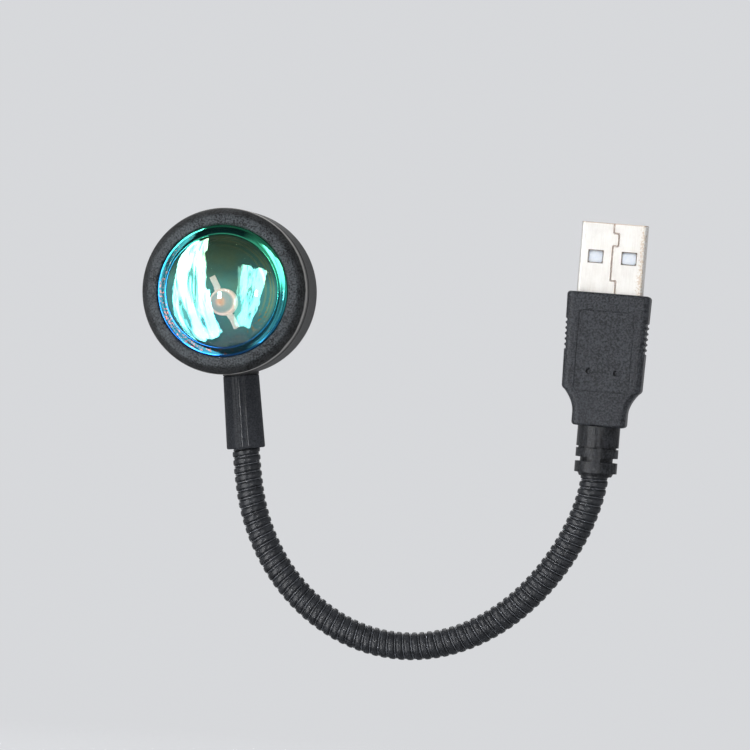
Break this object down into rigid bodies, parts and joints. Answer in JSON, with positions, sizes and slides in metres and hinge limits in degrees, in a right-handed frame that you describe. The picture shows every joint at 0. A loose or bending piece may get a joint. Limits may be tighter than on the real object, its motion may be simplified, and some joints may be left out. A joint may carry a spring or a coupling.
{
  "type": "plug-in gooseneck projection lamp",
  "caption": "Small round projection lamp with a domed, coated lens on a ribbed gooseneck hose bent in a U, ending in a flat plug.",
  "frame": {"origin": "where the plug's axis meets the front face of the moulded plug body", "axes": "+Z along the plug and out of its mouth; the hose is bent in the plane Y = 0, the lens looks along -Y, and the head is on the -X side"},
  "size_m": [0.0921, 0.0234, 0.0832],
  "materials": {
    "shell_metal": "satin nickel plate",
    "tongue_plastic": "smooth white insulator",
    "contact_gold": "gold flash",
    "core_plastic": "natural white moulding",
    "plug_black": "fine-textured black overmould",
    "relief_black": "semi-gloss flexible black",
    "hose_black": "semi-gloss black coat over a wound metal hose",
    "sleeve_black": "semi-gloss black",
    "housing_black": "satin black",
    "bezel_black": "finely grained black",
    "coated_glass": "clear glass with a green-blue interference coat",
    "gasket_rubber": "matt black",
    "board_mask": "dark mask over an aluminium plate",
    "led_plastic": "warm off-white",
    "led_clear": "clear dome",
    "lead_metal": "tinned",
    "wire_red": "satin",
    "wire_black": "satin"
  },
  "bodies": {
    "plug": {"usb_shell": "shell_metal", "usb_tongue": "tongue_plastic", "contact_1": "contact_gold", "contact_2": "contact_gold", "contact_3": "contact_gold", "contact_4": "contact_gold", "plug_core": "core_plastic", "overmould": "plug_black", "strain_relief": "relief_black", "wire_red_plug": "wire_red", "wire_black_plug": "wire_black", "hose_end_plug": "hose_black"},
    "link_01": {"hose_01": "hose_black"},
    "link_02a": {"hose_02a": "hose_black"},
    "link_02b": {"hose_02b": "hose_black"},
    "link_03": {"hose_03": "hose_black"},
    "link_04": {"hose_04": "hose_black"},
    "link_05a": {"hose_05a": "hose_black"},
    "link_05b": {"hose_05b": "hose_black"},
    "link_06": {"hose_06": "hose_black"},
    "link_07": {"hose_07": "hose_black"},
    "link_08": {"hose_08": "hose_black"},
    "link_09": {"hose_09": "hose_black"},
    "link_10": {"hose_10": "hose_black"},
    "link_11": {"hose_11": "hose_black"},
    "link_12a": {"hose_12a": "hose_black"},
    "link_12b": {"hose_12b": "hose_black"},
    "link_13": {"hose_13": "hose_black"},
    "link_14": {"hose_14": "hose_black"},
    "link_15a": {"hose_15a": "hose_black"},
    "link_15b": {"hose_15b": "hose_black"},
    "link_16": {"hose_16": "hose_black"},
    "head": {"hose_end_head": "hose_black", "neck_sleeve": "sleeve_black", "housing": "housing_black", "bezel": "bezel_black", "lens": "coated_glass", "lens_gasket": "gasket_rubber", "star_board": "board_mask", "led_body": "led_plastic", "led_dome": "led_clear", "lead_a": "lead_metal", "lead_b": "lead_metal", "wire_red_head": "wire_red", "wire_black_head": "wire_black"}
  },
  "joints": [
    {"name": "bend_near_plug", "type": "hinge", "parent": "plug", "child": "link_01", "pos_m": [0, 0, -0.03495], "axis": [0.0005, 1, 0], "range_deg": [-20.96, 2.62]},
    {"name": "bend_02", "type": "hinge", "parent": "link_01", "child": "link_02a", "pos_m": [-0.00138, 0, -0.04089], "axis": [0.0005, 1, 0], "range_deg": [-14.9, 1.88]},
    {"name": "side_near_plug", "type": "hinge", "parent": "link_02a", "child": "link_02b", "pos_m": [-0.00254, 0, -0.04371], "axis": [-0.9245, 0, 0.3811], "range_deg": [-12, 12]},
    {"name": "bend_03", "type": "hinge", "parent": "link_02b", "child": "link_03", "pos_m": [-0.00371, 0, -0.04653], "axis": [0.0005, 1, 0], "range_deg": [-12.02, 1.52]},
    {"name": "bend_04", "type": "hinge", "parent": "link_03", "child": "link_04", "pos_m": [-0.00675, 0, -0.05182], "axis": [0.0005, 1, 0], "range_deg": [-12.34, 1.56]},
    {"name": "bend_05", "type": "hinge", "parent": "link_04", "child": "link_05a", "pos_m": [-0.01047, 0, -0.05665], "axis": [0.0005, 1, 0], "range_deg": [-13.78, 1.74]},
    {"name": "side_02", "type": "hinge", "parent": "link_05a", "child": "link_05b", "pos_m": [-0.01267, 0, -0.05876], "axis": [-0.6921, 0, 0.7218], "range_deg": [-12.02, 12.02]},
    {"name": "bend_06", "type": "hinge", "parent": "link_05b", "child": "link_06", "pos_m": [-0.01487, 0, -0.06087], "axis": [0.0005, 1, 0], "range_deg": [-15.54, 1.96]},
    {"name": "bend_07", "type": "hinge", "parent": "link_06", "child": "link_07", "pos_m": [-0.01992, 0, -0.06429], "axis": [0.0005, 1, 0], "range_deg": [-17.62, 2.22]},
    {"name": "bend_08", "type": "hinge", "parent": "link_07", "child": "link_08", "pos_m": [-0.02553, 0, -0.06669], "axis": [0.0005, 1, 0], "range_deg": [-19.7, 2.48]},
    {"name": "bend_09", "type": "hinge", "parent": "link_08", "child": "link_09", "pos_m": [-0.03153, 0, -0.06783], "axis": [0.0005, 1, 0], "range_deg": [-20.98, 2.64]},
    {"name": "bend_10", "type": "hinge", "parent": "link_09", "child": "link_10", "pos_m": [-0.03762, 0, -0.06759], "axis": [0.0005, 1, 0], "range_deg": [-20.82, 2.62]},
    {"name": "bend_middle", "type": "hinge", "parent": "link_10", "child": "link_11", "pos_m": [-0.04351, 0, -0.06598], "axis": [0.0005, 1, 0], "range_deg": [-19.52, 2.44]},
    {"name": "bend_12", "type": "hinge", "parent": "link_11", "child": "link_12a", "pos_m": [-0.04892, 0, -0.06316], "axis": [0.0005, 1, 0], "range_deg": [-17.94, 2.26]},
    {"name": "side_03", "type": "hinge", "parent": "link_12a", "child": "link_12b", "pos_m": [-0.0513, 0, -0.06125], "axis": [0.6252, 0, 0.7804], "range_deg": [-12.02, 12.02]},
    {"name": "bend_near_head", "type": "hinge", "parent": "link_12b", "child": "link_13", "pos_m": [-0.05368, 0, -0.05935], "axis": [0.0005, 1, 0], "range_deg": [-16.8, 2.1]},
    {"name": "bend_14", "type": "hinge", "parent": "link_13", "child": "link_14", "pos_m": [-0.05766, 0, -0.05473], "axis": [0.0005, 1, 0], "range_deg": [-16.02, 2.02]},
    {"name": "bend_15", "type": "hinge", "parent": "link_14", "child": "link_15a", "pos_m": [-0.06079, 0, -0.04949], "axis": [0.0005, 1, 0], "range_deg": [-15.22, 1.92]},
    {"name": "side_near_head", "type": "hinge", "parent": "link_15a", "child": "link_15b", "pos_m": [-0.06189, 0, -0.04665], "axis": [0.9317, 0, 0.3633], "range_deg": [-12, 12]},
    {"name": "bend_16", "type": "hinge", "parent": "link_15b", "child": "link_16", "pos_m": [-0.063, 0, -0.0438], "axis": [0.0005, 1, 0], "range_deg": [-14.42, 1.82]},
    {"name": "bend_17", "type": "hinge", "parent": "link_16", "child": "head", "pos_m": [-0.0643, 0, -0.03784], "axis": [0.0005, 1, 0], "range_deg": [-5.78, 0.74]}
  ],
  "couplings": [
    {"joint": "bend_02", "follows": "bend_near_plug", "ratio": 0.70992},
    {"joint": "bend_03", "follows": "bend_near_plug", "ratio": 0.57252},
    {"joint": "bend_04", "follows": "bend_near_plug", "ratio": 0.58779},
    {"joint": "bend_05", "follows": "bend_near_plug", "ratio": 0.65649},
    {"joint": "side_02", "follows": "side_near_plug", "ratio": 1},
    {"joint": "bend_06", "follows": "bend_near_plug", "ratio": 0.74046},
    {"joint": "bend_07", "follows": "bend_middle", "ratio": 0.90164},
    {"joint": "bend_08", "follows": "bend_middle", "ratio": 1.0082},
    {"joint": "bend_09", "follows": "bend_middle", "ratio": 1.0738},
    {"joint": "bend_10", "follows": "bend_middle", "ratio": 1.0656},
    {"joint": "bend_12", "follows": "bend_middle", "ratio": 0.91803},
    {"joint": "side_03", "follows": "side_near_head", "ratio": 1},
    {"joint": "bend_14", "follows": "bend_near_head", "ratio": 0.95238},
    {"joint": "bend_15", "follows": "bend_near_head", "ratio": 0.90476},
    {"joint": "bend_16", "follows": "bend_near_head", "ratio": 0.85714},
    {"joint": "bend_17", "follows": "bend_near_head", "ratio": 0.34286}
  ]
}
